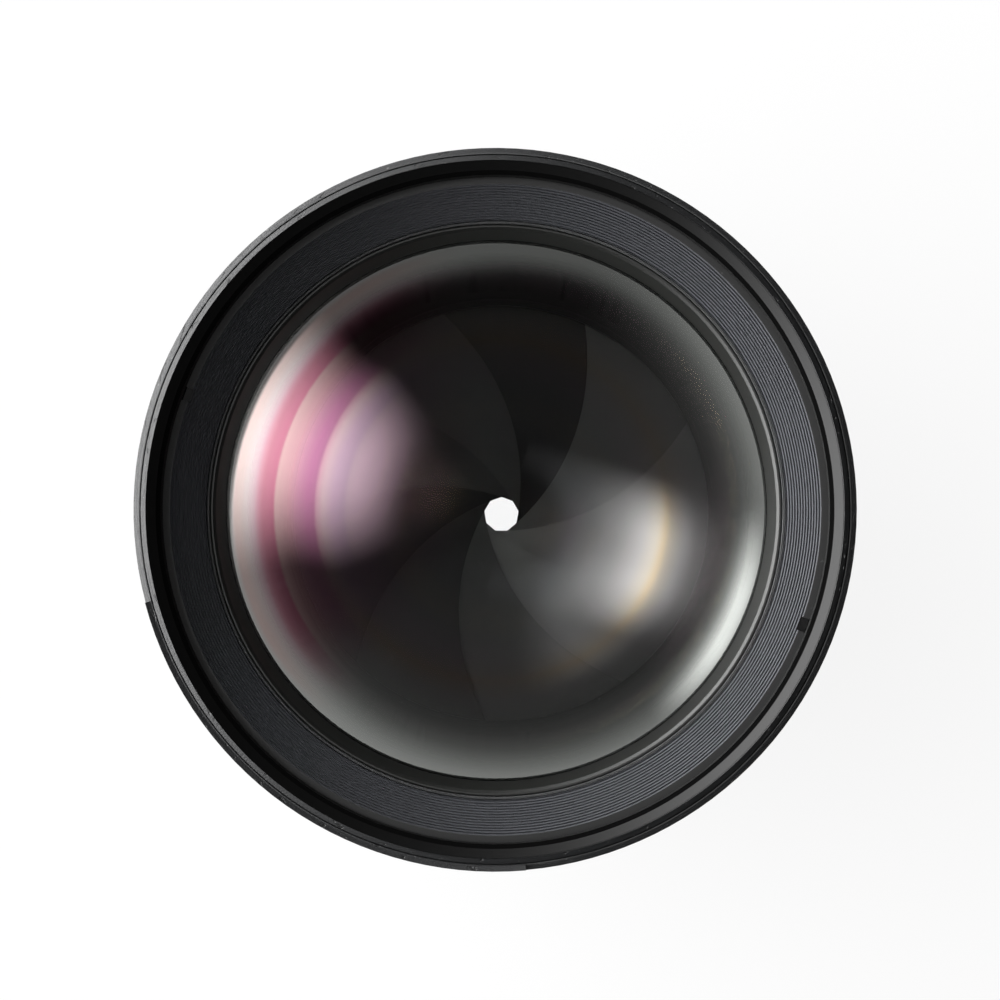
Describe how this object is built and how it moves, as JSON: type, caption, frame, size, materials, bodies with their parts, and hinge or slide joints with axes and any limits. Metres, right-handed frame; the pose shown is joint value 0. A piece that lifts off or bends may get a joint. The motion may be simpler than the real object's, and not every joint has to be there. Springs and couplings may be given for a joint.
{
  "type": "telephoto prime lens",
  "caption": "Fast short-telephoto lens with a bayonet mount, ribbed front baffle, turning focus and aperture rings and a nine-sided iris.",
  "frame": {"origin": "on the optical axis, at the face of the mount flange that rests against a camera", "axes": "+Z along the optical axis towards the front rim, +Y towards the index dot on the mount, +X to the right seen from the front with +Y up"},
  "size_m": [0.0768, 0.0768, 0.0885],
  "materials": {
    "front_metal": "matte crackle paint",
    "ring_metal": "satin black anodised",
    "inner_black": "flat black",
    "baffle_black": "satin black, finely ribbed",
    "grip_rubber": "matte rubber",
    "mount_metal": "satin chromed brass",
    "bare_brass": "turned brass",
    "alloy": "turned aluminium, dark anodised",
    "screw_steel": "machined steel",
    "blade_steel": "blued spring steel",
    "rear_plastic": "matte black",
    "index_red": "gloss red",
    "coated_glass": "polished, multi-coated"
  },
  "bodies": {
    "fixed_barrel": {"bayonet_mount": "mount_metal", "rear_baffle": "rear_plastic", "mount_screws": "screw_steel", "main_barrel": "inner_black", "rear_cover": "ring_metal", "mount_index_dot": "index_red", "scale_ring": "ring_metal", "focus_keeper": "alloy", "stop_screw": "screw_steel", "detent_ball": "screw_steel", "detent_plunger": "bare_brass"},
    "aperture_control": {"aperture_ring": "ring_metal", "aperture_fork": "bare_brass", "fork_screws": "screw_steel"},
    "focus_control": {"focus_ring": "ring_metal", "focus_grip": "grip_rubber", "cam_sleeve": "bare_brass", "grip_screws": "screw_steel"},
    "optical_unit": {"unit_tube": "alloy", "guide_collars": "bare_brass", "collar_screws": "screw_steel", "front_barrel": "front_metal", "barrel_screws": "screw_steel", "ribbed_baffle": "baffle_black", "front_retainer": "inner_black", "front_cell": "inner_black", "cell_screws": "screw_steel", "second_retainer": "inner_black", "front_element": "coated_glass", "second_element": "coated_glass", "third_element": "coated_glass", "iris_housing": "inner_black", "iris_cover": "inner_black", "iris_keeper": "inner_black", "rear_cell": "inner_black", "fourth_element": "coated_glass", "fifth_element": "coated_glass", "rear_spacer": "inner_black", "rear_element": "coated_glass", "rear_retainer": "inner_black"},
    "iris_cam": {"iris_cam_ring": "bare_brass", "iris_drive_pin": "screw_steel"},
    "iris_blade_1": {"blade_1": "blade_steel"},
    "iris_blade_2": {"blade_2": "blade_steel"},
    "iris_blade_3": {"blade_3": "blade_steel"},
    "iris_blade_4": {"blade_4": "blade_steel"},
    "iris_blade_5": {"blade_5": "blade_steel"},
    "iris_blade_6": {"blade_6": "blade_steel"},
    "iris_blade_7": {"blade_7": "blade_steel"},
    "iris_blade_8": {"blade_8": "blade_steel"},
    "iris_blade_9": {"blade_9": "blade_steel"}
  },
  "joints": [
    {"name": "aperture_turn", "type": "hinge", "parent": "fixed_barrel", "child": "aperture_control", "pos_m": [0, 0, 0.0188], "axis": [0, 0, 1], "range_deg": [0, 60]},
    {"name": "focus_turn", "type": "hinge", "parent": "fixed_barrel", "child": "focus_control", "pos_m": [0, 0, 0.05], "axis": [0, 0, 1], "range_deg": [0, 100]},
    {"name": "focus_slide", "type": "slide", "parent": "fixed_barrel", "child": "optical_unit", "axis": [0, 0, 1], "range_m": [0, 0.008]},
    {"name": "iris_cam_turn", "type": "hinge", "parent": "optical_unit", "child": "iris_cam", "pos_m": [0, 0, 0.041], "axis": [0, 0, 1], "range_deg": [0, 60]},
    {"name": "blade_1_turn", "type": "hinge", "parent": "optical_unit", "child": "iris_blade_1", "pos_m": [0.01804, 0.01522, 0.0452], "axis": [0, 0, 1], "range_deg": [-39.71, 0]},
    {"name": "blade_2_turn", "type": "hinge", "parent": "optical_unit", "child": "iris_blade_2", "pos_m": [0.00404, 0.02325, 0.0452], "axis": [0, 0, 1], "range_deg": [-39.71, 0]},
    {"name": "blade_3_turn", "type": "hinge", "parent": "optical_unit", "child": "iris_blade_3", "pos_m": [-0.01185, 0.02041, 0.0452], "axis": [0, 0, 1], "range_deg": [-39.71, 0]},
    {"name": "blade_4_turn", "type": "hinge", "parent": "optical_unit", "child": "iris_blade_4", "pos_m": [-0.0222, 0.00801, 0.0452], "axis": [0, 0, 1], "range_deg": [-39.71, 0]},
    {"name": "blade_5_turn", "type": "hinge", "parent": "optical_unit", "child": "iris_blade_5", "pos_m": [-0.02216, -0.00813, 0.0452], "axis": [0, 0, 1], "range_deg": [-39.71, 0]},
    {"name": "blade_6_turn", "type": "hinge", "parent": "optical_unit", "child": "iris_blade_6", "pos_m": [-0.01175, -0.02047, 0.0452], "axis": [0, 0, 1], "range_deg": [-39.71, 0]},
    {"name": "blade_7_turn", "type": "hinge", "parent": "optical_unit", "child": "iris_blade_7", "pos_m": [0.00416, -0.02323, 0.0452], "axis": [0, 0, 1], "range_deg": [-39.71, 0]},
    {"name": "blade_8_turn", "type": "hinge", "parent": "optical_unit", "child": "iris_blade_8", "pos_m": [0.01812, -0.01512, 0.0452], "axis": [0, 0, 1], "range_deg": [-39.71, 0]},
    {"name": "blade_9_turn", "type": "hinge", "parent": "optical_unit", "child": "iris_blade_9", "pos_m": [0.0236, 0.00006, 0.0452], "axis": [0, 0, 1], "range_deg": [-39.71, 0]}
  ],
  "couplings": [
    {"joint": "focus_slide", "follows": "focus_turn", "m_per_rad": 0.0045837},
    {"joint": "iris_cam_turn", "follows": "aperture_turn", "ratio": 1},
    {"joint": "blade_1_turn", "follows": "aperture_turn", "ratio": -0.66179},
    {"joint": "blade_2_turn", "follows": "aperture_turn", "ratio": -0.66179},
    {"joint": "blade_3_turn", "follows": "aperture_turn", "ratio": -0.66179},
    {"joint": "blade_4_turn", "follows": "aperture_turn", "ratio": -0.66179},
    {"joint": "blade_5_turn", "follows": "aperture_turn", "ratio": -0.66179},
    {"joint": "blade_6_turn", "follows": "aperture_turn", "ratio": -0.66179},
    {"joint": "blade_7_turn", "follows": "aperture_turn", "ratio": -0.66179},
    {"joint": "blade_8_turn", "follows": "aperture_turn", "ratio": -0.66179},
    {"joint": "blade_9_turn", "follows": "aperture_turn", "ratio": -0.66179}
  ]
}
